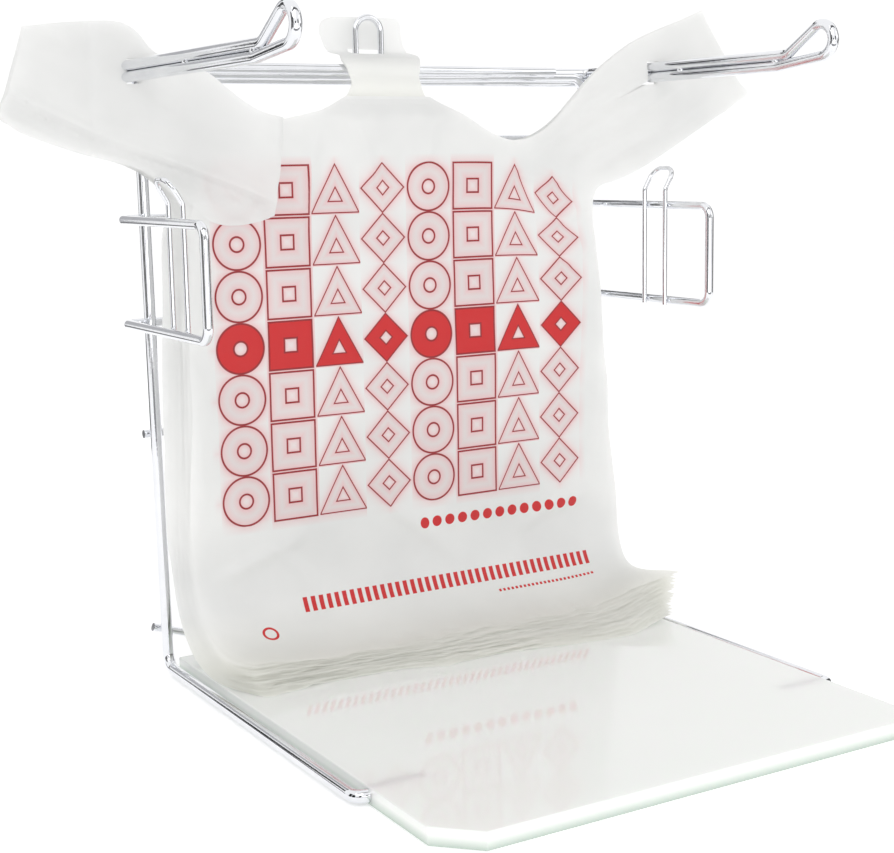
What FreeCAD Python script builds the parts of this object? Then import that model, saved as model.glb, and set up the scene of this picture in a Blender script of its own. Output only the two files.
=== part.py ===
import FreeCAD, Part
import os
from math import cos, sin, sqrt, tan, radians

# Counter-top rack for T-shirt bags: a bent-wire frame plugged into a plastic base plate.
# Millimetres. X to the right, -Y towards the user, +Z up.
# Origin: centre of the base plate's underside.

V = FreeCAD.Vector

# ---- driving dimensions ------------------------------------------------------------------
plate_width = 300.0
plate_depth = 328.0
plate_thickness = 9.5
plate_chamfer = 20.0            # front corners
plate_edge_round = 0.8

frame_dia = 7.0                 # main frame wire
arm_dia = 6.35                  # arms and the rod along the rail
hoop_dia = 5.5
cross_dia = 5.0
hook_dia = 4.0
hanger_dia = 3.0

stub_hole_dia = 7.1             # running clearance of 0.05 round the stub
stub_depth = 30.0
stub_y = -86.0                  # stub's place along the plate's side
leg_x = 156.7                   # legs run beside the plate
rail_half_width = 159.0         # uprights lean out to this at the rail
rail_z = 365.0
upright_y = plate_depth / 2
frame_bend = 9.0
stub_bend = 6.0

arm_x = 166.6
arm_tip_y = -66.9
arm_kink_y = -30.0              # the upper wire starts to climb here
arm_climb_deg = 31.0
arm_return_y = -22.0            # the lower wire is level again behind here
arm_return_deg = 6.0
arm_nose_bend = 9.3
arm_corner_bend = 5.5
arm_climb_bend = 12.0
arm_return_bend = 30.0

hoop_x = 170.6
hoop_front_y = 43.3
hoop_low_z = 217.9
hoop_high_z = 279.7
hoop_bend = 7.5                 # front corners
hoop_rear_bend = 5.0

hanger_y = 93.5
hanger_pitch = 21.5
hanger_top_z = 303.5
hanger_lean = 8.0               # the tops lean outwards by this
hanger_lean_z = 290.0
hanger_lean_bend = 4.0
hanger_top_bend = 8.0

hook_pitch = 18.2
hook_top_z = 401.5
hook_low_z = 356.0

upper_cross_z = 324.5
mid_cross_z = 150.5
brace_end_z = 29.5
brace_low_z = 5.0
brace_dip_x = 90.0
brace_bend = 15.0
cross_half_length = 163.5       # the cross wires end just outside the uprights
rail_rod_half = 130.7

bag_half_width = 146.0
bag_front_y = 124.0
bag_pitch = 1.5                 # from one bag to the next
bag_thickness = 1.0
bag_count = 5                   # bags modelled one by one; the rest are the stack
stack_thickness = 8.0
bag_floor_z = plate_thickness + 1.0
bag_foot_rise = 50.0            # radius of the quarter round that turns each bag's foot forward
slot_clearance = 3.0            # round the arms, in the bags' handles

tab_half_width = 25.0
tab_thickness = 4.0             # all the bags' tabs together
tab_low_z = 351.0
tab_rise_y = 142.0              # the tabs rise behind this, over the rail, and behind the hook
tab_over_z = 373.5
tab_top_z = 398.5

# ---- places worked out from them ---------------------------------------------------------
plate_mid_z = plate_thickness / 2
arm_upper_z = rail_z + arm_dia / 2
arm_lower_z = rail_z - arm_dia / 2
# The two stacked arm wires nest against the back of the rail.
arm_rear_y = upright_y + sqrt(((frame_dia + arm_dia) / 2) ** 2 - (arm_dia / 2) ** 2)
hoop_rear_y = upright_y + (frame_dia + hoop_dia) / 2
cross_y = upright_y + (frame_dia + cross_dia) / 2
hook_y = arm_rear_y + (arm_dia + hook_dia) / 2
hanger_x = hoop_x - (hoop_dia + hanger_dia) / 2
# The rod lies in front of the rail and a little above its middle.
rail_rod_z = rail_z + 0.45 * arm_dia
rail_rod_y = upright_y - sqrt(((frame_dia + arm_dia) / 2) ** 2 - (rail_rod_z - rail_z) ** 2)


def bent_wire(points, diameter, bend):
    """Round wire through the points; bend is one radius, or one for each inner point."""
    inner = len(points) - 2
    bends = bend if isinstance(bend, list) else [bend] * inner
    edges = []
    start = points[0]
    for i in range(inner):
        corner = points[i + 1]
        back = (points[i] - corner).normalize()
        ahead = (points[i + 2] - corner).normalize()
        half_angle = back.getAngle(ahead) / 2
        reach = bends[i] / tan(half_angle)
        arc_start = corner + back * reach
        arc_end = corner + ahead * reach
        to_centre = (back + ahead).normalize()
        arc_mid = corner + to_centre * (bends[i] / sin(half_angle) - bends[i])
        if start.distanceToPoint(arc_start) > 1e-4:
            edges.append(Part.LineSegment(start, arc_start).toShape())
        edges.append(Part.Arc(arc_start, arc_mid, arc_end).toShape())
        start = arc_end
    edges.append(Part.LineSegment(start, points[-1]).toShape())
    path = Part.Wire(edges)
    section = Part.Wire(Part.makeCircle(diameter / 2, points[0], points[1] - points[0]))
    return path.makePipeShell([section], True, False)


def mirrored(shape):
    return shape.mirror(V(0, 0, 0), V(1, 0, 0))


def both_halves(half):
    """A shape that ends on the X = 0 plane, joined to its mirror image."""
    return half.fuse(mirrored(half)).removeSplitter()


def cross_wire(z):
    ends = [V(side * cross_half_length, cross_y, z) for side in (-1, 1)]
    return bent_wire(ends, cross_dia, [])


def base_plate():
    half_width = plate_width / 2
    half_depth = plate_depth / 2
    outline = Part.makePolygon([
        V(-half_width, half_depth, 0),
        V(-half_width, plate_chamfer - half_depth, 0),
        V(plate_chamfer - half_width, -half_depth, 0),
        V(half_width - plate_chamfer, -half_depth, 0),
        V(half_width, plate_chamfer - half_depth, 0),
        V(half_width, half_depth, 0),
        V(-half_width, half_depth, 0),
    ])
    plate = Part.Face(outline).extrude(V(0, 0, plate_thickness))
    plate = plate.makeFillet(plate_edge_round, plate.Edges)
    for side in (-1, 1):
        mouth = V(side * half_width, stub_y, plate_mid_z)
        hole = Part.makeCylinder(stub_hole_dia / 2, stub_depth + 1, mouth, V(-side, 0, 0))
        plate = plate.cut(hole)
    return plate


def frame_wire():
    half = bent_wire([
        V(plate_width / 2 - stub_depth, stub_y, plate_mid_z),
        V(leg_x, stub_y, plate_mid_z),
        V(leg_x, upright_y, plate_mid_z),
        V(rail_half_width, upright_y, rail_z),
        V(0, upright_y, rail_z),
    ], frame_dia, [stub_bend, frame_bend, frame_bend])
    return both_halves(half)


def front_rail_rod():
    ends = [V(side * rail_rod_half, rail_rod_y, rail_rod_z) for side in (-1, 1)]
    return bent_wire(ends, arm_dia, [])


def arm_wire():
    # The tip: up the climb, over the nose and back along the lower wire.
    climb_z = arm_upper_z + (arm_kink_y - arm_tip_y) * tan(radians(arm_climb_deg))
    return_z = arm_lower_z + (arm_return_y - arm_tip_y) * tan(radians(arm_return_deg))
    half = bent_wire([
        V(0, arm_rear_y, arm_upper_z),
        V(arm_x, arm_rear_y, arm_upper_z),
        V(arm_x, arm_kink_y, arm_upper_z),
        V(arm_x, arm_tip_y, climb_z),
        V(arm_x, arm_tip_y, return_z),
        V(arm_x, arm_return_y, arm_lower_z),
        V(arm_x, arm_rear_y, arm_lower_z),
        V(0, arm_rear_y, arm_lower_z),
    ], arm_dia, [arm_corner_bend, arm_climb_bend, arm_nose_bend, arm_nose_bend, arm_return_bend, arm_corner_bend])
    return both_halves(half)


def centre_hook():
    half = hook_pitch / 2
    return bent_wire([
        V(-half, hook_y, hook_low_z),
        V(-half, hook_y, hook_top_z),
        V(half, hook_y, hook_top_z),
        V(half, hook_y, hook_low_z),
    ], hook_dia, half - 0.05)


def lower_brace():
    return bent_wire([
        V(-cross_half_length, cross_y, brace_end_z),
        V(-brace_dip_x, cross_y, brace_low_z),
        V(brace_dip_x, cross_y, brace_low_z),
        V(cross_half_length, cross_y, brace_end_z),
    ], cross_dia, brace_bend)


def guard_hoop():
    half = bent_wire([
        V(0, hoop_rear_y, hoop_high_z),
        V(hoop_x, hoop_rear_y, hoop_high_z),
        V(hoop_x, hoop_front_y, hoop_high_z),
        V(hoop_x, hoop_front_y, hoop_low_z),
        V(hoop_x, hoop_rear_y, hoop_low_z),
        V(0, hoop_rear_y, hoop_low_z),
    ], hoop_dia, [hoop_rear_bend, hoop_bend, hoop_bend, hoop_rear_bend])
    return both_halves(half)


def hanger():
    """The right-hand hairpin: up the inside of the guard, then leaning out over it."""
    near = hanger_y - hanger_pitch / 2
    far = hanger_y + hanger_pitch / 2
    low_z = hoop_low_z - hoop_dia / 2
    top_x = hanger_x + hanger_lean
    return bent_wire([
        V(hanger_x, near, low_z),
        V(hanger_x, near, hanger_lean_z),
        V(top_x, near, hanger_top_z),
        V(top_x, far, hanger_top_z),
        V(hanger_x, far, hanger_lean_z),
        V(hanger_x, far, low_z),
    ], hanger_dia, [hanger_lean_bend, hanger_top_bend, hanger_top_bend, hanger_lean_bend])


def weld_beads():
    """Arc-weld blobs where the wires touch."""
    rod_touch = arm_dia / (frame_dia + arm_dia)
    rod_y = rail_rod_y + (upright_y - rail_rod_y) * rod_touch
    rod_z = rail_rod_z + (rail_z - rail_rod_z) * rod_touch
    spots = [V(x, rod_y, rod_z) for x in (-127, -68, 97, 127)]
    for side in (-1, 1):
        spots += [V(side * arm_x, y, rail_z) for y in (arm_return_y + 2, 67.6)]
        spots += [V(side * hook_pitch / 2, hook_y - hook_dia / 2, z) for z in (arm_lower_z, arm_upper_z)]
    return Part.makeCompound([Part.makeSphere(2.6, spot) for spot in spots])


def bag_outline():
    """Front view of a T-shirt bag below its torn-off tab, as a block through the whole depth."""
    right = [
        V(0, 0, 350),
        V(30, 0, 350),
        V(80, 0, 329.5),
        V(118, 0, 366),
        V(223, 0, 391.5),
        V(238, 0, 338.5),
        V(225, 0, 329.5),
        V(150, 0, 307),
        V(bag_half_width, 0, 290),
        V(bag_half_width, 0, bag_floor_z),
        V(0, 0, bag_floor_z),
    ]
    block = Part.Face(Part.makePolygon(right + right[:1])).extrude(V(0, 2 * plate_depth, 0))
    slot_width = arm_dia + 2 * slot_clearance
    slot_height = 2 * arm_dia + 2 * slot_clearance
    slot = Part.makeBox(slot_width, 2 * plate_depth, slot_height,
                        V(arm_x - slot_width / 2, 0, rail_z - slot_height / 2))
    half = block.cut(slot)
    return both_halves(half)


def bag_slab(front_y, thickness):
    """Upright from the handles down, with its foot turned forward over the plate."""
    knee_z = bag_floor_z + bag_foot_rise
    rear_y = front_y + thickness
    # The foot is a quarter round, taken in two flats.
    hip = bag_foot_rise * (1 - cos(radians(45)))
    profile = Part.makePolygon([
        V(0, front_y, 400),
        V(0, front_y, knee_z),
        V(0, front_y - hip, bag_floor_z + hip),
        V(0, front_y - bag_foot_rise, bag_floor_z),
        V(0, rear_y - bag_foot_rise, bag_floor_z),
        V(0, rear_y - hip, bag_floor_z + hip),
        V(0, rear_y, knee_z),
        V(0, rear_y, 400),
        V(0, front_y, 400),
    ])
    strip = Part.Face(profile).extrude(V(2 * plate_width, 0, 0))
    strip.translate(V(-plate_width, 0, 0))
    return strip.common(bag_outline())


def single_bag(index):
    return bag_slab(bag_front_y + index * bag_pitch, bag_thickness)


def bag_stack():
    return bag_slab(bag_front_y + bag_count * bag_pitch, stack_thickness)


def bag_tab_block():
    """Centre tabs left on the hook: up the front of the rail, over it, and up behind the hook."""
    front_y = tab_rise_y - tab_thickness
    back_y = hook_y + hook_dia / 2 + 3.0
    back_z = tab_over_z + 8.5
    profile = Part.makePolygon([
        V(-tab_half_width, front_y, tab_low_z),
        V(-tab_half_width, front_y, tab_over_z + tab_thickness),
        V(-tab_half_width, back_y, back_z + tab_thickness),
        V(-tab_half_width, back_y, tab_top_z),
        V(-tab_half_width, back_y + tab_thickness, tab_top_z),
        V(-tab_half_width, back_y + tab_thickness, back_z),
        V(-tab_half_width, tab_rise_y, tab_over_z),
        V(-tab_half_width, tab_rise_y, tab_low_z),
        V(-tab_half_width, front_y, tab_low_z),
    ])
    block = Part.Face(profile).extrude(V(2 * tab_half_width, 0, 0))
    slot_x = hook_pitch + hook_dia + 2.0
    slot_y = hook_dia + 2.0
    slot = Part.makeBox(slot_x, slot_y, tab_top_z, V(-slot_x / 2, hook_y - slot_y / 2, tab_low_z))
    return block.cut(slot)


nodes = {
    "base_plate": base_plate(),
    "frame_wire": frame_wire(),
    "front_rail_rod": front_rail_rod(),
    "arm_wire": arm_wire(),
    "centre_hook": centre_hook(),
    "upper_cross_wire": cross_wire(upper_cross_z),
    "mid_cross_wire": cross_wire(mid_cross_z),
    "lower_brace": lower_brace(),
    "guard_hoop": guard_hoop(),
    "hanger_right": hanger(),
    "hanger_left": mirrored(hanger()),
    "weld_beads": weld_beads(),
    "bag_tab_block": bag_tab_block(),
    "bag_front": single_bag(0),
    "bag_stack": bag_stack(),
}
for index in range(1, bag_count):
    nodes["bag_" + str(index + 1)] = single_bag(index)

os.makedirs("parts", exist_ok=True)
for name, shape in nodes.items():
    shape.exportStep("parts/" + name + ".step")
    print(name, "valid", shape.isValid(), "solids", len(shape.Solids), "volume", round(shape.Volume))
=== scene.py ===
import math
import random
import bpy
import numpy as np
from mathutils import Matrix, Vector, noise
from mathutils.geometry import delaunay_2d_cdt


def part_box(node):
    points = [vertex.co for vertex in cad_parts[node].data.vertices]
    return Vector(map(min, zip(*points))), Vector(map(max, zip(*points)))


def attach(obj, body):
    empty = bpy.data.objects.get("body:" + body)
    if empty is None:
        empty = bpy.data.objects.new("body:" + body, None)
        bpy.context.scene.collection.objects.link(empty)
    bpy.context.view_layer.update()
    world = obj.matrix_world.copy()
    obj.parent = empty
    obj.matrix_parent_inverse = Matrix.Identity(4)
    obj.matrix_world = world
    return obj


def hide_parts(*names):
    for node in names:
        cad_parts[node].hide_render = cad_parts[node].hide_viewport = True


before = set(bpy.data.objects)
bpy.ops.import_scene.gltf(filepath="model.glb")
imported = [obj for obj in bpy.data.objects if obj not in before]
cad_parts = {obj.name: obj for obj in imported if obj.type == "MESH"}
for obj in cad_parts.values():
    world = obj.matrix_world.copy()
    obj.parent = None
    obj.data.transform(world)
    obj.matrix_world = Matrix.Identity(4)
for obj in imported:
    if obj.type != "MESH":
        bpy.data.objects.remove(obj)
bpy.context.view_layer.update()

MM = 0.001
DEG = math.pi / 180

plate_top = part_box("base_plate")[1].z


# ---- camera and light --------------------------------------------------------------------
CAMERA_PLACE = Vector((-0.4948, -0.7503, 0.3111))
CAMERA_AZIMUTH = -30.64
CAMERA_ELEVATION = 9.41
CAMERA_ROLL = -1.01
CAMERA_LENS = 64.69


def add_camera():
    azimuth = CAMERA_AZIMUTH * DEG
    elevation = CAMERA_ELEVATION * DEG
    roll = CAMERA_ROLL * DEG
    back = Vector((math.sin(azimuth) * math.cos(elevation),
                   -math.cos(azimuth) * math.cos(elevation),
                   math.sin(elevation)))
    level_right = (-back).cross(Vector((0, 0, 1))).normalized()
    level_up = back.cross(level_right)
    right = level_right * math.cos(roll) + level_up * math.sin(roll)
    up = level_up * math.cos(roll) - level_right * math.sin(roll)
    data = bpy.data.cameras.new("camera")
    data.lens = CAMERA_LENS
    data.sensor_width = 36
    data.clip_start = 0.01
    camera = bpy.data.objects.new("camera", data)
    turn = Matrix((right, up, back)).transposed().to_4x4()
    camera.matrix_world = Matrix.Translation(CAMERA_PLACE) @ turn
    bpy.context.scene.collection.objects.link(camera)
    bpy.context.scene.camera = camera


def turn_towards(aim, place):
    """Rotation that points a thing's own -Z from the place to the aim."""
    return (Vector(aim) - Vector(place)).to_track_quat("-Z", "Y").to_euler()


def area_light(name, place, aim, size, power):
    data = bpy.data.lights.new(name, "AREA")
    data.shape = "RECTANGLE"
    data.size, data.size_y = size
    data.energy = power
    light = bpy.data.objects.new(name, data)
    light.location = place
    light.rotation_euler = turn_towards(aim, place)
    bpy.context.scene.collection.objects.link(light)
    return light


WORLD_SEEN, WORLD_SOFT_LIGHT = 1.06, 0.755


def set_world(strength, diffuse_strength):
    """White all round; what it gives as soft light is set apart from how bright it looks."""
    world = bpy.data.worlds.new("world")
    world.use_nodes = True
    nodes, links = world.node_tree.nodes, world.node_tree.links
    background = nodes["Background"]
    background.inputs["Color"].default_value = (1, 1, 1, 1)
    path = nodes.new("ShaderNodeLightPath")
    level = nodes.new("ShaderNodeMapRange")
    level.inputs["To Min"].default_value = strength
    level.inputs["To Max"].default_value = diffuse_strength
    links.new(path.outputs["Is Diffuse Ray"], level.inputs["Value"])
    links.new(level.outputs["Result"], background.inputs["Strength"])
    bpy.context.scene.world = world


def new_material(name):
    material = bpy.data.materials.new(name)
    material.use_nodes = True
    nodes = material.node_tree.nodes
    return material, nodes, material.node_tree.links, nodes["Principled BSDF"]


def floor_material():
    material, _, _, shader = new_material("floor")
    shader.inputs["Base Color"].default_value = (0.93, 0.93, 0.93, 1)
    shader.inputs["Roughness"].default_value = 0.9
    shader.inputs["Emission Color"].default_value = (1, 1, 1, 1)
    shader.inputs["Emission Strength"].default_value = 0.3
    return material


def rectangle(name, size_x, size_y, material):
    """A flat sheet round the origin, facing up."""
    x, y = size_x / 2, size_y / 2
    mesh = bpy.data.meshes.new(name)
    mesh.from_pydata([(-x, -y, 0), (x, -y, 0), (x, y, 0), (-x, y, 0)], [], [(0, 1, 2, 3)])
    mesh.materials.append(material)
    thing = bpy.data.objects.new(name, mesh)
    bpy.context.scene.collection.objects.link(thing)
    return thing


FLOOR_SIZE = 12.0


def add_stage():
    rectangle("floor", FLOOR_SIZE, FLOOR_SIZE, floor_material())


def flag(name, place, aim, size, shade):
    """A studio flag that only reflections see: the dark and grey streaks along polished wire."""
    material, nodes, links, _ = new_material(name)
    glow = nodes.new("ShaderNodeEmission")
    glow.inputs["Color"].default_value = (shade, shade, shade * 1.03, 1)
    links.new(glow.outputs["Emission"], nodes["Material Output"].inputs["Surface"])
    card = rectangle(name, *size, material)
    card.location = place
    card.rotation_euler = turn_towards(aim, place)
    card.visible_camera = False
    card.visible_diffuse = False
    card.visible_transmission = False
    card.visible_shadow = False


def add_flags():
    middle = (0, 0, 0.25)
    flag("flag_camera", (-0.72, -1.12, 0.42), middle, (0.42, 0.50), 0.01)
    flag("flag_right", (1.7, -0.7, 0.6), middle, (1.0, 1.8), 0.02)
    flag("flag_left", (-1.9, 0.1, 0.5), middle, (0.60, 1.6), 0.03)
    flag("flag_side_left", (-1.53, -0.50, 0.3), middle, (0.52, 1.3), 0.01)
    flag("flag_side_right", (0.20, -1.59, 0.3), middle, (0.52, 1.3), 0.01)
    flag("flag_top", (0.0, -0.5, 1.5), middle, (2.4, 0.24), 0.12)
    flag("flag_low", (-0.1, -0.62, 0.04), (0, 0.164, 0.365), (1.6, 0.12), 0.30)
    flag("flag_back_high", (0.1, 1.5, 1.25), middle, (1.6, 0.14), 0.02)
    flag("flag_back_left", (-1.0, 1.6, 0.55), middle, (0.26, 1.2), 0.04)
    flag("flag_back_low", (-0.5, 0.85, 0.06), (-0.16, 0, 0.36), (0.9, 0.12), 0.22)
    flag("flag_back_mid", (-0.32, 1.6, 0.45), middle, (0.70, 1.2), 0.50)
    flag("flag_back_right", (1.54, 0.40, 0.45), middle, (0.60, 1.4), 0.08)
    flag("flag_back_grey", (-0.45, 1.7, 1.0), middle, (0.5, 1.0), 0.38)


# ---- materials ---------------------------------------------------------------------------
def chrome_material():
    material, nodes, links, shader = new_material("chrome")
    shader.inputs["Metallic"].default_value = 1.0
    coordinates = nodes.new("ShaderNodeTexCoord")
    haze = nodes.new("ShaderNodeTexNoise")
    haze.inputs["Scale"].default_value = 60
    haze.inputs["Detail"].default_value = 4
    links.new(coordinates.outputs["Object"], haze.inputs["Vector"])
    tint = nodes.new("ShaderNodeValToRGB")
    tint.color_ramp.elements[0].color = (0.74, 0.75, 0.78, 1)
    tint.color_ramp.elements[1].color = (0.90, 0.91, 0.93, 1)
    links.new(haze.outputs["Fac"], tint.inputs["Fac"])
    links.new(tint.outputs["Color"], shader.inputs["Base Color"])
    polish = nodes.new("ShaderNodeMapRange")
    polish.inputs["To Min"].default_value = 0.04
    polish.inputs["To Max"].default_value = 0.13
    links.new(haze.outputs["Fac"], polish.inputs["Value"])
    links.new(polish.outputs["Result"], shader.inputs["Roughness"])
    ripple = nodes.new("ShaderNodeTexNoise")
    ripple.inputs["Scale"].default_value = 220
    links.new(coordinates.outputs["Object"], ripple.inputs["Vector"])
    bump = nodes.new("ShaderNodeBump")
    bump.inputs["Strength"].default_value = 0.05
    bump.inputs["Distance"].default_value = 0.0004
    links.new(ripple.outputs["Fac"], bump.inputs["Height"])
    links.new(bump.outputs["Normal"], shader.inputs["Normal"])
    return material


PLATE_DARK = (0.88, 0.905, 0.87, 1)
PLATE_LIGHT = (0.925, 0.945, 0.915, 1)
# Dark green for the foot of the cut edge: the sheet's own green, with painted shade.
PLATE_EDGE_GREEN_SHADE = (0.42, 0.52, 0.45, 1)
# The edge's green and painted shade end at this share of the plate's thickness.
EDGE_GREEN_SHADE_TOP = 0.62


def plate_material():
    """Milky, slightly green acrylic sheet: light spreads inside it, and its face is polished."""
    material, nodes, links, shader = new_material("plate")
    tree = material.node_tree
    coordinates = nodes.new("ShaderNodeTexCoord").outputs["Object"]
    cloud = noise_field(tree, coordinates, 9.0, 3.0)
    colour = mix_colour(tree, cloud, PLATE_DARK, PLATE_LIGHT)
    split = nodes.new("ShaderNodeSeparateXYZ")
    links.new(coordinates, split.inputs[0])
    # The cut edge is painted darker and greener towards its foot: the sheet's own green seen edge on,
    # deepened with painted shade near the floor.
    height = Field(tree, split.outputs[2]) * (1 / plate_top)
    edge_green_and_shade = (height * -1.0 + EDGE_GREEN_SHADE_TOP).node("SMOOTH_MIN", EDGE_GREEN_SHADE_TOP, 0.2).larger(0.0) * 1.5
    colour = mix_colour(tree, edge_green_and_shade.smaller(1.0), colour, PLATE_EDGE_GREEN_SHADE)
    links.new(colour, shader.inputs["Base Color"])
    shader.inputs["Subsurface Weight"].default_value = 0.35
    shader.inputs["Subsurface Radius"].default_value = (0.8, 1.0, 0.8)
    shader.inputs["Subsurface Scale"].default_value = 0.014
    smear = nodes.new("ShaderNodeMapRange")
    smear.inputs["To Min"].default_value = 0.03
    smear.inputs["To Max"].default_value = 0.10
    links.new(noise_field(tree, coordinates, 24.0, 5.0).socket, smear.inputs["Value"])
    links.new(smear.outputs["Result"], shader.inputs["Roughness"])
    shader.inputs["IOR"].default_value = 1.49
    bump = nodes.new("ShaderNodeBump")
    bump.inputs["Strength"].default_value = 0.06
    bump.inputs["Distance"].default_value = 0.0006
    links.new(noise_field(tree, coordinates, 14.0, 2.0).socket, bump.inputs["Height"])
    links.new(bump.outputs["Normal"], shader.inputs["Normal"])
    return material


def dress(names, material):
    for name in names:
        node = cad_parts[name]
        node.data.materials.clear()
        node.data.materials.append(material)


# ---- film bags ---------------------------------------------------------------------------
# A bag is drawn flat, in millimetres, as (across, along). Along is the height above the plate's
# underside where the film hangs, and goes on down the curved foot below that. Depth is a bag's
# place in the pack, from 0 for the front bag to 1 for the rearmost.
FRONT_Y = 124.0
PACK_DEPTH = 16.0
FLOOR_Z = 10.4

# Mesh spacing, in millimetres: inside a piece, and along its edge.
PACK_STEP, PACK_EDGE_STEP = 7.0, 5.6
FRONT_STEP = 3.2
FLAP_STEP, FLAP_EDGE_STEP = 2.5, 2.4
TAB_STEP, TAB_EDGE_STEP = 3.0, 2.4

# How far forward the lowest bag's foot reaches, from left to right.
TOE_LINE_X = (-150, -137, -93, -48, -20, 24, 63, 112, 150)
TOE_LINE_Y = (78, 61, 67, 64, 54, 54, 47, 41, 58)


def ease(value, low, high):
    share = min(max((value - low) / (high - low), 0.0), 1.0)
    return share * share * (3 - 2 * share)


def wave(across, along, size, seed):
    return noise.noise(Vector((across / size, along / size, seed)))


# The front bag's toe: its y, its height over the lowest bag's, and how much higher its left end is.
FRONT_TOE_Y = 74
FRONT_TOE_RISE = 11.5
FRONT_TOE_LEFT_RISE = 4
# The foot's right end flares up: the lowest bag's rise, and what the front bag has on top of that.
FLARE_LOW, FLARE_MORE = 3, 10
KNEE_FRONT, KNEE_DROP = 76, 12
CURVE_POINTS = 41


def knee_height(depth):
    """Where the bag starts to curve forward."""
    return KNEE_FRONT - KNEE_DROP * depth


def foot_ends(across, depth):
    """Toe's y and z."""
    low_toe_y = float(np.interp(across, TOE_LINE_X, TOE_LINE_Y))
    toe_y = FRONT_TOE_Y * (1 - depth) + low_toe_y * depth
    toe_z = FLOOR_Z + (1 - depth) * (FRONT_TOE_RISE + FRONT_TOE_LEFT_RISE * ease(-across, 80, 140))
    return toe_y, toe_z


def foot_curve(share, depth, across):
    """The foot's y and z, a share of the way from the knee to the toe."""
    knee = knee_height(depth)
    top_y = FRONT_Y + PACK_DEPTH * depth
    toe_y, toe_z = foot_ends(across, depth)
    rest = (1 - share) ** 2
    return top_y + (toe_y - top_y) * share ** 2, rest * knee + (1 - rest) * toe_z


def foot_table(depth):
    """Length along the foot's curve, for evenly spaced shares of it."""
    shares = np.linspace(0, 1, CURVE_POINTS)
    line = np.array([foot_curve(share, depth, 0) for share in shares])
    steps = np.hypot(*np.diff(line, axis=0).T)
    return shares, np.concatenate(([0], np.cumsum(steps)))


CREASE_FOOT = (-94, 287)
CREASE_SLOPE = 0.47
CREASE_RUN = (3, 128)


def crease_height(across, along):
    """Height above the crease that runs up the left handle towards its end."""
    return along - CREASE_FOOT[1] - (CREASE_FOOT[0] - across) * CREASE_SLOPE


def crease_line(above, step):
    """Points along the crease, or along a line that far above it."""
    runs = np.arange(*CREASE_RUN, step)
    return [(CREASE_FOOT[0] - run, CREASE_FOOT[1] + run * CREASE_SLOPE + above) for run in runs]


# How far forward or back of its flat hang a bag goes, in millimetres.
ARM_BACK = 29
LEFT_END_BACK = 22
LEFT_BAND_BACK = 4.5
RIGHT_FORWARD = 34
RIGHT_SHOULDER_SHARE = 0.52
TAB_BACK = 7
GATHERED_SHARE = 0.25
# Broad and small unevenness of the film: height, size across and seed.
BROAD_WAVE = (1.6, 75, 3.1)
SMALL_WAVE = (0.5, 22, 7.7)


def pulled_back(across, along):
    """How far back the arms and the tab pull the film; below zero is forward."""
    handle = ease(along, 285, 320)
    back = (ARM_BACK * ease(-across, 95, 162) + LEFT_END_BACK * ease(-across, 152, 186)) * handle
    band = 1 - ease(crease_height(across, along), -13, 2)
    back += LEFT_BAND_BACK * band * ease(-across, 100, 150) * handle
    right = RIGHT_SHOULDER_SHARE + (1 - RIGHT_SHOULDER_SHARE) * ease(along, 300, 370)
    back -= RIGHT_FORWARD * ease(across, 80, 200) * ease(along, 120, 290) * right
    back += TAB_BACK * ease(along, 335, 351) * (1 - ease(abs(across + 10), 35, 60))
    return back


def hang(across, along, depth, table):
    """Where a flat point is in the rack, in millimetres."""
    gather = 1 - (1 - GATHERED_SHARE) * ease(along, 290, 345)
    y = FRONT_Y + PACK_DEPTH * depth * gather + pulled_back(across, along)
    z = along
    knee = knee_height(depth)
    if along < knee:
        shares, lengths = table
        share = float(np.interp(knee - along, lengths, shares))
        y, z = foot_curve(share, depth, across)
        z += ease(across, 95, 172) * ease(share, 0.35, 1) * (FLARE_LOW + FLARE_MORE * (1 - depth))
    for (height, size, seed), low in ((BROAD_WAVE, 60), (SMALL_WAVE, 80)):
        y -= height * wave(across, along, size, seed) * ease(along, low, 160)
    return across, y, z


def smooth_outline(points, step):
    """Corner-cut line through the points, closed; a point with a third value stays sharp."""
    line = [(Vector(point[:2]), len(point) > 2) for point in points]
    for _ in range(2):
        cut = []
        for i, (here, sharp) in enumerate(line):
            before, after = line[i - 1][0], line[(i + 1) % len(line)][0]
            if sharp:
                cut.append((here, True))
            else:
                cut += [(here.lerp(before, 0.25), False), (here.lerp(after, 0.25), False)]
        line = cut
    result = []
    for i, (here, _) in enumerate(line):
        after = line[(i + 1) % len(line)][0]
        parts = max(1, round((after - here).length / step))
        result += [here.lerp(after, k / parts) for k in range(parts)]
    return result


def inside(points, loop):
    """Which of the points lie in the closed loop."""
    x, y = points[:, 0], points[:, 1]
    result = np.zeros(len(points), bool)
    for (x1, y1), (x2, y2) in zip(loop, np.roll(loop, -1, axis=0)):
        if y1 != y2:
            crosses = (y1 > y) != (y2 > y)
            result ^= crosses & (x < (x2 - x1) * (y - y1) / (y2 - y1) + x1)
    return result


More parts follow.
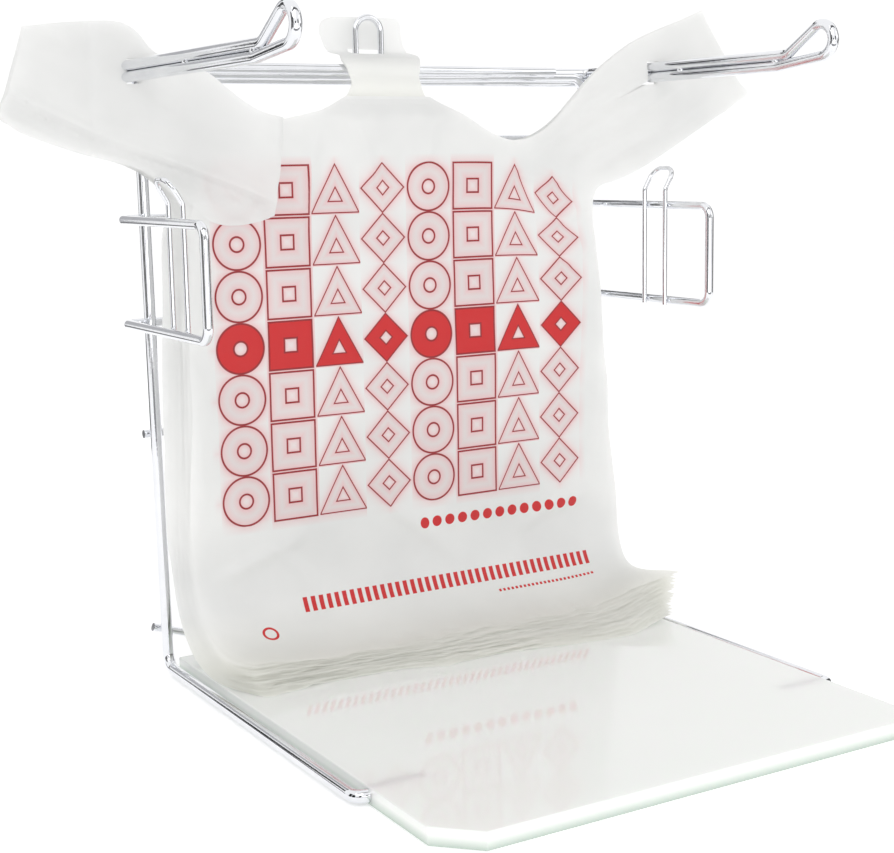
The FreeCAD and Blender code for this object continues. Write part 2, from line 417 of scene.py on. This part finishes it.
def mesh_flat(loops, step, seed, ridges=()):
    """Triangles that fill the first loop and leave the other loops open, with points along the ridges."""
    arrays = [np.array([tuple(point) for point in loop]) for loop in loops]
    low, high = arrays[0].min(0), arrays[0].max(0)
    across = np.arange(low[0] + step / 2, high[0], step)
    along = np.arange(low[1] + step / 2, high[1], step * 0.87)
    grid = np.array([(a + (row % 2) * step / 2, b) for row, b in enumerate(along) for a in across])
    grid += np.random.default_rng(seed).uniform(-0.12, 0.12, grid.shape) * step
    keep = inside(grid, arrays[0])
    for hole in arrays[1:]:
        keep &= ~inside(grid, hole)
    lines = [np.array(ridge) for ridge in ridges]
    border = np.concatenate(arrays + lines)
    near = np.array([np.hypot(*(border - point).T).min() < step * 0.55 for point in grid])
    grid = grid[keep & ~near]
    points = np.concatenate((border, grid))
    edges = []
    start = 0
    for loop in arrays:
        count = len(loop)
        edges += [(start + i, start + (i + 1) % count) for i in range(count)]
        start += count
    made = delaunay_2d_cdt([Vector(point) for point in points], edges, [], 0, 1e-5)
    flat = np.array([tuple(point) for point in made[0]])
    faces = np.array([face for face in made[2]])
    middles = flat[faces].mean(axis=1)
    keep = inside(middles, arrays[0])
    for hole in arrays[1:]:
        keep &= ~inside(middles, hole)
    return flat, faces[keep]


def flat_area(flat, faces):
    """Area of the triangles as drawn flat, in square millimetres."""
    a, b, c = (flat[faces[:, i]] for i in range(3))
    return float(np.abs((b - a)[:, 0] * (c - a)[:, 1] - (b - a)[:, 1] * (c - a)[:, 0]).sum() / 2)


# The UV map is the flat drawing in units of 100 mm; a second piece is moved clear of the first.
UV_UNIT = 100
UV_PIECE_SHIFT = 500


def film_object(name, pieces, material):
    """One mesh from (flat points, faces, placed points) pieces, with the flat points as its UV map."""
    places, faces, flats = [], [], []
    for number, (flat, piece_faces, placed) in enumerate(pieces):
        faces += [tuple(int(i) + len(places) for i in face) for face in piece_faces]
        places += [Vector(place) * MM for place in placed]
        flats += [(across - UV_PIECE_SHIFT * number, along) for across, along in flat]
    mesh = bpy.data.meshes.new(name)
    mesh.from_pydata(places, [], faces)
    layer = mesh.uv_layers.new(name="flat")
    corners = np.zeros(len(mesh.loops), int)
    mesh.loops.foreach_get("vertex_index", corners)
    layer.data.foreach_set("uv", (np.array(flats)[corners] / UV_UNIT).ravel())
    mesh.polygons.foreach_set("use_smooth", [True] * len(mesh.polygons))
    mesh.materials.append(material)
    mesh.update()
    thing = bpy.data.objects.new(name, mesh)
    bpy.context.scene.collection.objects.link(thing)
    return thing


# Parts of the bags' outlines, as (across, along); a third value keeps the corner sharp.
MOUTH_RIGHT = [(19, 350.4, 1), (25.7, 346.4), (40, 339), (56, 329.5), (66, 325), (77.4, 322.3), (92, 325),
               (105.7, 334), (118.6, 349.8), (124.5, 357.3), (132.8, 366.8), (145.8, 378), (158.7, 386.8),
               (177.9, 394.9), (201.9, 403, 1), (219, 379.7), (233, 360.5), (243.9, 352, 1),
               (230.9, 342.8, 1), (209, 329.4), (173.7, 306.5), (152, 296.2), (138, 293.3), (134.5, 286.8),
               (133.5, 280)]
SIDE_RIGHT = [(134.3, 264), (137.3, 244), (142, 217), (149.4, 148.6), (154.5, 106.7), (158.5, 78), (158, 50),
              (158, 28), (164, 12)]
FRONT_LEFT = [(-144, 6), (-149, 25), (-152, 50), (-154, 80), (-153, 128), (-150, 176), (-148, 234),
              (-146.5, 275), (-143, 290), (-134, 302), (-120, 318), (-104, 330), (-88, 336), (-74, 339),
              (-57, 342.3), (-40, 350.4, 1)]
HANDLE_LEFT_TOP = [(-221, 390, 1), (-200.6, 392.8), (-172, 394.7), (-162, 388), (-156, 377), (-150, 373),
                   (-138.5, 368.5), (-127, 364), (-119, 355), (-109.5, 346), (-99, 339.8)]
HANDLE_LEFT_LOW = [(-151, 297), (-163, 310), (-189, 318), (-221, 329.5), (-233, 336.7), (-237, 341, 1)]
HANDLE_LEFT = ([(-86.5, 337.5, 1), (-87.7, 324.4), (-90.2, 307), (-92.4, 297), (-93.6, 288),
                (-94.2, 280.8, 1), (-100, 277.8), (-115, 275.4), (-130, 276.2), (-142, 284)]
               + HANDLE_LEFT_LOW + HANDLE_LEFT_TOP)
ARM_HOLE_LEFT = [(-167.4, 357.8, 1), (-160.5, 357.8, 1), (-160.5, 372.2, 1), (-167.4, 372.2, 1)]
ARM_HOLE_RIGHT = [(144, 348.2, 1), (163, 357.4, 1), (170.3, 357.6, 1), (170.3, 372, 1), (162.9, 372, 1),
                  (162.6, 359.2, 1)]


def toe_along(depth):
    """Along, at the foot's end."""
    return knee_height(depth) - foot_table(depth)[1][-1]


# How a bag inside the pack differs from the front one, in millimetres.
REAR_WIDER = 11
TOE_CORNER, TOE_CORNER_DROP = 173, 19
SIDE_STRAY = 1.2
RIGHT_HANDLE_STRAY, LEFT_HANDLE_STRAY = 2.4, 1.6
HANDLE_END = 190


def pack_outline(depth, random_state):
    """Whole front view of a bag inside the pack."""
    low = toe_along(depth)
    wide = REAR_WIDER * depth
    corner = TOE_CORNER - TOE_CORNER_DROP * depth
    bump = [random_state.uniform(-SIDE_STRAY, SIDE_STRAY) for _ in range(8)]

    def strayed(points, reach):
        """The points, with those of the handles' ends moved about by up to the reach."""
        return [(x + random_state.uniform(-reach, reach), z + random_state.uniform(-reach, reach), *sharp)
                if abs(x) > HANDLE_END else (x, z, *sharp) for x, z, *sharp in points]

    side_right = [(x - 2 * depth + bump[i % 8], z) for i, (x, z) in enumerate(SIDE_RIGHT)]
    return (strayed(MOUTH_RIGHT, RIGHT_HANDLE_STRAY) + side_right
            + [(corner - 1, low + 8), (corner, low, 1), (60, low - 2), (0, low), (-70, low - 1),
               (-139, low, 1), (-149, low + 14), (-151 - wide / 3, low + 40),
               (-153 - wide * 0.7 + bump[0], 60), (-154 - wide * 0.9 + bump[1], 90),
               (-152 - wide + bump[2], 130), (-150 - wide + bump[3], 180),
               (-148 - wide + bump[4], 234), (-147 - wide, 275), (-150, 291)]
            + strayed([(x, z + 1) for x, z in HANDLE_LEFT_LOW[1:-1]] + [(-236, 341, 1)]
                      + [(x + 1, z - 1, *sharp) for x, z, *sharp in HANDLE_LEFT_TOP], LEFT_HANDLE_STRAY)
            + [(-86, 336.5), (-74, 338), (-57, 341.5), (-38, 350.4, 1)])


RAGGED_BAND = 28
FLOOR_CLEARANCE_LOSS = 0.2


def ragged(places, flat, depth, seed):
    """The foot's edge waves up and down, and the sides in and out, each bag's in its own way."""
    low = toe_along(depth)
    result = []
    for (across, along), (x, y, z) in zip(flat, places):
        edge = 1 - ease(along, low, low + RAGGED_BAND)
        z += edge * (1.1 * wave(across, 0, 16, seed) + 0.5 * wave(across, 0, 6, seed + 9))
        y += edge * (3.0 * wave(across, 50, 34, seed) + 1.2 * wave(across, 50, 8, seed + 5))
        x += edge * 1.5 * wave(across, 90, 30, seed)
        side = ease(abs(across), 120, 150) * ease(along, 70, 110)
        x += side * 0.8 * wave(0, along, 40, seed)
        result.append((x, y, max(z, FLOOR_Z - FLOOR_CLEARANCE_LOSS)))
    return result


def pack_bag(name, depth, seed, material):
    outline = pack_outline(depth, random.Random(seed))
    loops = [smooth_outline(loop, PACK_EDGE_STEP) for loop in (outline, ARM_HOLE_LEFT, ARM_HOLE_RIGHT)]
    flat, faces = mesh_flat(loops, PACK_STEP, seed)
    table = foot_table(depth)
    places = ragged([hang(across, along, depth, table) for across, along in flat], flat, depth, seed)
    return declare_bag(film_object(name, [(flat, faces, places)], material), flat_area(flat, faces))


def declare_bag(thing, area):
    """Area in square millimetres; not used."""
    return thing


# Soft folds of the front bag: start and end, as (across, along), then height and half width.
FOLDS = [
    # Along the right handle, from the shoulder.
    ((70, 300), (196, 384), 2.4, 4.0), ((96, 300), (206, 370), 1.9, 3.4), ((118, 296), (228, 357), 2.2, 4.5),
    ((78, 326), (150, 366), 1.8, 3.5),
    # Out of the right armpit.
    ((134, 282), (84, 262), 2.0, 3.6), ((138, 262), (96, 230), 1.5, 3.4), ((130, 292), (66, 306), 1.6, 3.2),
    # Down from the mouth and the tab.
    ((-62, 338), (-78, 262), 2.0, 4.0), ((-40, 346), (-20, 282), 1.6, 4.5), ((20, 344), (4, 290), 1.6, 4.5),
    # Down the sides.
    ((148, 190), (140, 70), 2.0, 4.0), ((-149, 200), (-146, 90), 2.2, 5.0),
    # Across the lower front.
    ((-146, 62), (-66, 92), 2.0, 5.0), ((-30, 104), (38, 50), 1.8, 5.0), ((64, 66), (150, 96), 1.8, 5.0),
    ((-120, 96), (-60, 40), 1.4, 4.5)]
FOLD_WANDER = 3


def folds(across, along):
    """How far forward the soft folds stand."""
    height = 0.0
    for (x1, z1), (x2, z2), peak, half_width in FOLDS:
        run_x, run_z = x2 - x1, z2 - z1
        length = math.hypot(run_x, run_z)
        share = ((across - x1) * run_x + (along - z1) * run_z) / length ** 2
        if 0 < share < 1:
            off = ((across - x1) * run_z - (along - z1) * run_x) / length
            off += FOLD_WANDER * wave(share * 60, 0, 30, peak)
            fade = ease(share, 0, 0.25) * ease(1 - share, 0, 0.35)
            height = max(height, peak * fade * math.exp(-(off / half_width) ** 2))
    return height


# The folded left handle, over the bag's own surface: millimetres forward.
FLAP_LIFT = 2.2
FLAP_EDGE_LIFT = 2.6
FLAP_SINK = 1.1
CREASE_STEP, CREASE_WIDTH = 2.4, 2.2
CREASE_LIP = 1.3
RIPPLE, RIPPLE_TURN = 0.8, 1.15
FLAP_WAVE = 2.2
FLAP_LEAST = 0.9


def handle_fold(across, along):
    """The left handle lies folded over the front: how far forward of the bag's own surface it is."""
    above = crease_height(across, along)
    lift = FLAP_LIFT + FLAP_EDGE_LIFT * ease(-across, 86, 91) * (0.35 + 0.65 * ease(along, 277, 290))
    lift -= FLAP_SINK * ease(-across, 92, 125)
    band = (1 - ease(above, -CREASE_WIDTH, 0)) * ease(-across, 93, 104)
    lift -= CREASE_STEP * band
    lift += CREASE_LIP * math.exp(-((above - 2.5) / 3.5) ** 2)
    ripples = math.sin(above * RIPPLE_TURN + 2 * wave(across, above, 26, 4.4))
    lift += RIPPLE * band * ripples * ease(above, -20, -3)
    lift += FLAP_WAVE * abs(wave(across * 0.35, above, 17, 8.8)) * ease(above, 2, 14)
    return max(lift, FLAP_LEAST)


def front_bag(material):
    """The printed bag, with its folded left handle as a second piece of the same mesh."""
    low = toe_along(0)
    body_outline = (MOUTH_RIGHT + SIDE_RIGHT
                    + [(172, low + 8), (173, low, 1), (60, low - 2), (0, low + 1), (-70, low), (-138, low, 1)]
                    + FRONT_LEFT)
    table = foot_table(0)
    loops = [smooth_outline(loop, FRONT_STEP) for loop in (body_outline, ARM_HOLE_RIGHT)]
    flat, faces = mesh_flat(loops, FRONT_STEP, 1)
    places = ragged([hang(across, along, 0, table) for across, along in flat], flat, 0, 1.5)
    places = [(x, y - folds(across, along), z) for (across, along), (x, y, z) in zip(flat, places)]
    area = flat_area(flat, faces)
    loops = [smooth_outline(loop, FLAP_EDGE_STEP) for loop in (HANDLE_LEFT, ARM_HOLE_LEFT)]
    ridges = [crease_line(above, FLAP_EDGE_STEP) for above in (-CREASE_WIDTH, 0.0)]
    handle_flat, handle_faces = mesh_flat(loops, FLAP_STEP, 2, ridges)
    handle_places = []
    for across, along in handle_flat:
        x, y, z = hang(across, along, 0, table)
        handle_places.append((x, y - handle_fold(across, along), z))
    area += flat_area(handle_flat, handle_faces)
    thing = film_object("front_bag_film", [(flat, faces, places), (handle_flat, handle_faces, handle_places)],
                        material)
    return declare_bag(thing, area)


# The tabs: the line they follow, as (y, z), and their two sides and slot, as (across, along).
TAB_LINE = [(133.5, 347.0), (141, 358), (149, 364.5), (152, 371), (158, 375.4), (166, 377.4), (172, 378.8),
            (178, 380.2), (180.3, 384), (181.3, 392), (182.3, 402)]
TAB_LEFT = [(-40, 0, 1), (-28.5, 12), (-26, 24), (-29, 31), (-28.5, 37), (-25, 45), (-22, 51), (-27, 56),
            (-28, 62), (-30, 70), (-27, 76), (-20, 78, 1)]
TAB_RIGHT = [(24, 78, 1), (27.5, 75), (27, 66), (29, 59), (31, 52), (31, 45), (28, 37), (25.5, 31),
             (22.5, 24), (17.5, 12), (19, 0, 1)]
TAB_SLOT = [(-13, 50.5, 1), (-13, 58.5, 1), (13, 58.5, 1), (13, 50.5, 1)]
TAB_LENGTH = 78
TAB_GAP, TAB_GAP_OVER = 0.9, 0.35


def tab_film(index, material):
    """One of the tabs that stay on the hook."""
    line = np.array(TAB_LINE)
    lengths = np.concatenate(([0], np.cumsum(np.hypot(*np.diff(line, axis=0).T))))
    stretch = lengths[-1] / TAB_LENGTH
    loops = [smooth_outline(loop, TAB_EDGE_STEP) for loop in (TAB_LEFT + TAB_RIGHT, TAB_SLOT)]
    flat, faces = mesh_flat(loops, TAB_STEP, TAB_SEED + index)
    places = []
    for across, along in flat:
        here = along * stretch
        y = float(np.interp(here, lengths, line[:, 0]))
        z = float(np.interp(here, lengths, line[:, 1]))
        over = ease(along, 30, 40) * (1 - ease(along, 52, 62))
        bulge = 0.8 * wave(across, along, 18, 5.5) + 0.25 * wave(across, along, 8, index)
        y += (TAB_GAP * index + bulge) * (1 - over)
        z -= (TAB_GAP_OVER * index) * over - 0.3 * bulge * over
        spread = 1 + 0.012 * index * ease(along, 55, 75)
        places.append((across * spread + 0.3 * wave(0, along, 9, index), y, z))
    thing = film_object("tab_film_" + str(index + 1), [(flat, faces, places)], material)
    flat_area(flat, faces) * MM * MM
    return thing


class Field:
    """A number that varies over a surface, built up with shader math nodes."""

    def __init__(self, tree, socket):
        self.tree = tree
        self.socket = socket

    def node(self, operation, *others):
        made = self.tree.nodes.new("ShaderNodeMath")
        made.operation = operation
        for place, value in zip(made.inputs, (self,) + others):
            if isinstance(value, Field):
                self.tree.links.new(value.socket, place)
            else:
                place.default_value = value
        return Field(self.tree, made.outputs[0])

    def __add__(self, other):
        return self.node("ADD", other)

    def __sub__(self, other):
        return self.node("SUBTRACT", other)

    def __mul__(self, other):
        return self.node("MULTIPLY", other)

    def __abs__(self):
        return self.node("ABSOLUTE")

    def larger(self, other):
        return self.node("MAXIMUM", other)

    def smaller(self, other):
        return self.node("MINIMUM", other)

    def below(self, limit, soft=0.12):
        """1 where the number is below the limit, 0 above, with a soft edge."""
        return ((self * (-1 / (2 * soft))) + (limit / (2 * soft) + 0.5)).larger(0.0).smaller(1.0)

    def between(self, low, high):
        return abs(self - (low + high) / 2).below((high - low) / 2)

    def repeat(self, pitch):
        """Distance from the middle of the cell that it falls in."""
        return self.node("FLOORED_MODULO", pitch) - pitch / 2


def mix_colour(tree, share, first, second):
    made = tree.nodes.new("ShaderNodeMix")
    made.data_type = "RGBA"
    tree.links.new(share.socket, made.inputs["Factor"])
    for place, value in ((made.inputs[6], first), (made.inputs[7], second)):
        if isinstance(value, tuple):
            place.default_value = value
        else:
            tree.links.new(value, place)
    return made.outputs[2]


def noise_field(tree, coordinates, scale, detail=2.0):
    made = tree.nodes.new("ShaderNodeTexNoise")
    made.inputs["Scale"].default_value = scale
    made.inputs["Detail"].default_value = detail
    tree.links.new(coordinates, made.inputs["Vector"])
    return Field(tree, made.outputs["Fac"])


# The printed pattern on the flat bag, in millimetres.
PRINT_LEFT, PRINT_RIGHT = -134.0, 127.0
PRINT_LOW = 95.7
PRINT_COLUMNS, PRINT_ROWS = 8, 7
ROW_PITCH = 30.7
FILLED_ROW = 3
# Keeps a cell from starting again on the pattern's far edge.
CELL_EDGE = 0.02
# A shape is a broad stroke round this radius, with a thin outline.
SHAPE_RADIUS, STROKE_HALF, OUTLINE_HALF = 9.7, 5.3, 0.6
# Sizes that make the square and the triangle look as large as the ring.
RING_SIZE, SQUARE_SIZE, TRIANGLE_SIZE, TRIANGLE_LOW = 1.01, 1.04, 1.55, 4.6
GLOW_FALL = 0.30
# Below the pattern: dots, then bars and dashes as (pitch, half width, heights, ends), then a small ring.
DOT_PITCH, DOT_RADIUS, DOT_HEIGHT, DOT_ENDS = 9.6, 3.5, 82, (0.2, 124.6)
BARS = (5.4, 1.5, (37.5, 47), (-86.4, 129.6))
DASHES = (3.2, 0.9, (28.5, 30.5), (51.2, 128))
MARK_CENTRE, MARK_RADIUS, MARK_HALF = (-113, 25), 4.4, 0.8

INK_RED = (0.70, 0.011, 0.014, 1)
INK_LINE = (0.34, 0.010, 0.015, 1)
INK_GLOW = (0.93, 0.50, 0.52, 1)
INK_SHADE = (0.70, 0.66, 0.65, 1)


def from_middle(x, y):
    return (x * x + y * y).node("SQRT")


def strokes(across, along, pitch, half_width, heights, ends):
    """A row of upright strokes."""
    return abs(across.repeat(pitch)).below(half_width) * along.between(*heights) * across.between(*ends)


def print_fields(across, along):
    """Ink, outline, glow and body of a plain pattern of rings, squares, triangles and diamonds."""
    pitch = (PRINT_RIGHT - PRINT_LEFT) / PRINT_COLUMNS
    top = PRINT_LOW + PRINT_ROWS * ROW_PITCH
    area = across.between(PRINT_LEFT, PRINT_RIGHT) * along.between(PRINT_LOW, top)
    x = (across.larger(PRINT_LEFT + CELL_EDGE).smaller(PRINT_RIGHT - CELL_EDGE) - PRINT_LEFT).repeat(pitch)
    y = (along.larger(PRINT_LOW + CELL_EDGE).smaller(top - CELL_EDGE) - PRINT_LOW).repeat(ROW_PITCH)
    ring = from_middle(x, y) * RING_SIZE
    square = abs(x).larger(abs(y)) * SQUARE_SIZE
    raised = y + TRIANGLE_LOW
    triangle = (abs(x) * 0.90 + raised * 0.5).larger(raised * -1.0) * TRIANGLE_SIZE
    diamond = abs(x) + abs(y)
    column = ((across - PRINT_LEFT) * (1 / pitch)).node("FLOOR")
    kind = column.node("FLOORED_MODULO", 4.0)
    shape = ring * abs(kind).below(0.5)
    for number, other in enumerate((square, triangle, diamond), 1):
        shape = shape + other * abs(kind - number).below(0.5)
    distance = abs(shape - SHAPE_RADIUS) - STROKE_HALF
    filled_row = along.between(PRINT_LOW + FILLED_ROW * ROW_PITCH, PRINT_LOW + (FILLED_ROW + 1) * ROW_PITCH)
    fill = distance.below(0.0) * area * filled_row
    line = abs(distance).below(OUTLINE_HALF) * area
    near = (abs(across - (PRINT_LEFT + PRINT_RIGHT) / 2).below((PRINT_RIGHT - PRINT_LEFT) / 2 + 1, 4.0)
            * abs(along - (PRINT_LOW + top) / 2).below((top - PRINT_LOW) / 2 + 1, 4.0))
    glow = (abs(distance) * -GLOW_FALL).node("EXPONENT") * near
    body = distance.below(0.0, 2.5) * area
    dots = (from_middle(across.repeat(DOT_PITCH), along - DOT_HEIGHT).below(DOT_RADIUS)
            * across.between(*DOT_ENDS))
    mark = abs(from_middle(across - MARK_CENTRE[0], along - MARK_CENTRE[1]) - MARK_RADIUS).below(MARK_HALF)
    solid = fill.larger(dots).larger(strokes(across, along, *BARS))
    return solid.larger(strokes(across, along, *DASHES)).larger(mark), line, glow, body


FILM_DARK = (0.89, 0.893, 0.885, 1)
FILM_LIGHT = (0.965, 0.965, 0.955, 1)
# Light that has come through many layers, at the foot, is a little yellow.
FOOT_TINT = (0.955, 0.955, 0.905, 1)
# The film is pulled towards the right handle, and the print with it: from where, how wide, how far.
PULL_CENTRE, PULL_SPREAD, PULL_ACROSS, PULL_ALONG = (128, 300), 1400, 9.0, 16.0
# Share of the light that shines through a layer, and shares that pass it straight: seen, and as light.
FILM_THROUGH = 0.34
STRAIGHT_SEEN, STRAIGHT_LIGHT_MORE = 0.04, 0.58


def film_material(name, printed):
    """Thin white polyethylene film: light passes through it, and it has a satin shine and fine creases."""
    material, nodes, links, shader = new_material(name)
    tree = material.node_tree
    place = nodes.new("ShaderNodeUVMap")
    place.uv_map = "flat"
    flat = place.outputs["UV"]
    cloud = noise_field(tree, flat, 1.6, 3.0)
    colour = mix_colour(tree, (cloud * 2.4 - 0.7).larger(0.0).smaller(1.0), FILM_DARK, FILM_LIGHT)
    split = nodes.new("ShaderNodeSeparateXYZ")
    links.new(flat, split.inputs[0])
    across = Field(tree, split.outputs[0]) * UV_UNIT
    along = Field(tree, split.outputs[1]) * UV_UNIT
    colour = mix_colour(tree, along.below(20, 26) * 0.8, colour, FOOT_TINT)
    if printed:
        x, y = across - PULL_CENTRE[0], along - PULL_CENTRE[1]
        pull = ((x * x + y * y) * (-1 / PULL_SPREAD)).node("EXPONENT")
        solid, line, glow, body = print_fields(across + pull * PULL_ACROSS, along + pull * PULL_ALONG)
        colour = mix_colour(tree, body * 0.35, colour, INK_SHADE)
        colour = mix_colour(tree, glow * 0.85, colour, INK_GLOW)
        colour = mix_colour(tree, solid, colour, INK_RED)
        colour = mix_colour(tree, line, colour, INK_LINE)
    links.new(colour, shader.inputs["Base Color"])
    shader.inputs["IOR"].default_value = 1.5
    shine = nodes.new("ShaderNodeMapRange")
    shine.inputs["To Min"].default_value = 0.30
    shine.inputs["To Max"].default_value = 0.50
    links.new(noise_field(tree, flat, 6.0).socket, shine.inputs["Value"])
    links.new(shine.outputs["Result"], shader.inputs["Roughness"])
    crease = nodes.new("ShaderNodeTexNoise")
    crease.noise_type = "RIDGED_MULTIFRACTAL"
    crease.inputs["Scale"].default_value = 3.0
    crease.inputs["Detail"].default_value = 5.0
    links.new(flat, crease.inputs["Vector"])
    bump = nodes.new("ShaderNodeBump")
    bump.inputs["Strength"].default_value = 0.5
    bump.inputs["Distance"].default_value = 0.0012
    links.new(crease.outputs["Fac"], bump.inputs["Height"])
    links.new(bump.outputs["Normal"], shader.inputs["Normal"])
    through = nodes.new("ShaderNodeBsdfTranslucent")
    links.new(colour, through.inputs["Color"])
    links.new(bump.outputs["Normal"], through.inputs["Normal"])
    blend = nodes.new("ShaderNodeMixShader")
    blend.inputs["Fac"].default_value = FILM_THROUGH
    links.new(shader.outputs["BSDF"], blend.inputs[1])
    links.new(through.outputs["BSDF"], blend.inputs[2])
    # One layer is hazy rather than opaque, and most of the light that falls on it goes on through.
    path = nodes.new("ShaderNodeLightPath")
    shadow_ray = Field(tree, path.outputs["Is Shadow Ray"])
    as_light = Field(tree, path.outputs["Is Diffuse Ray"]).larger(shadow_ray)
    clear = nodes.new("ShaderNodeBsdfTransparent")
    haze = nodes.new("ShaderNodeMixShader")
    links.new((as_light * STRAIGHT_LIGHT_MORE + STRAIGHT_SEEN).socket, haze.inputs["Fac"])
    links.new(blend.outputs["Shader"], haze.inputs[1])
    links.new(clear.outputs["BSDF"], haze.inputs[2])
    links.new(haze.outputs["Shader"], nodes["Material Output"].inputs["Surface"])
    return material


# Bags with a CAD node each behind the front one, bags that share the stack's node, and tabs.
SINGLE_BAGS, STACK_BAGS, TABS = 4, 10, 4
PACK_SEED, TAB_SEED = 10, 40


def add_bags():
    plain = film_material("film", False)
    front = front_bag(film_material("printed_film", True))
    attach(front, "front_bag")
    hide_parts("bag_front")
    count = SINGLE_BAGS + STACK_BAGS
    for index in range(count):
        depth = (index + 1) / count
        in_stack = index >= SINGLE_BAGS
        name = "stack_film_" + str(index - SINGLE_BAGS + 1) if in_stack else "bag_film_" + str(index + 2)
        bag = pack_bag(name, depth, PACK_SEED + index, plain)
        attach(bag, "bag_pack")
        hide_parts("bag_stack" if in_stack else "bag_" + str(index + 2))
    for index in range(TABS):
        tab = tab_film(index, plain)
        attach(tab, "rack")
        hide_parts("bag_tab_block")


bpy.context.scene.view_settings.view_transform = "Standard"
add_camera()
set_world(WORLD_SEEN, WORLD_SOFT_LIGHT)
add_stage()
add_flags()
area_light("key", (-1.1, -1.1, 1.8), (0, 0, 0.2), (1.5, 1.5), 9)
area_light("fill", (1.3, -0.9, 0.9), (0, 0, 0.2), (0.9, 0.9), 2.5)
back_fill = area_light("back_fill", (0.8, 1.5, 0.9), (0, 0.1, 0.2), (1.0, 1.0), 3.0)
back_fill.visible_glossy = False
area_light("foot_fill", (-0.25, -1.2, 0.22), (0, 0.08, 0.05), (0.9, 0.3), 2.0)

wire_names = ["frame_wire", "front_rail_rod", "arm_wire", "centre_hook", "upper_cross_wire", "mid_cross_wire",
              "lower_brace", "guard_hoop", "hanger_left", "hanger_right", "weld_beads"]
dress(wire_names, chrome_material())
dress(["base_plate"], plate_material())
add_bags()
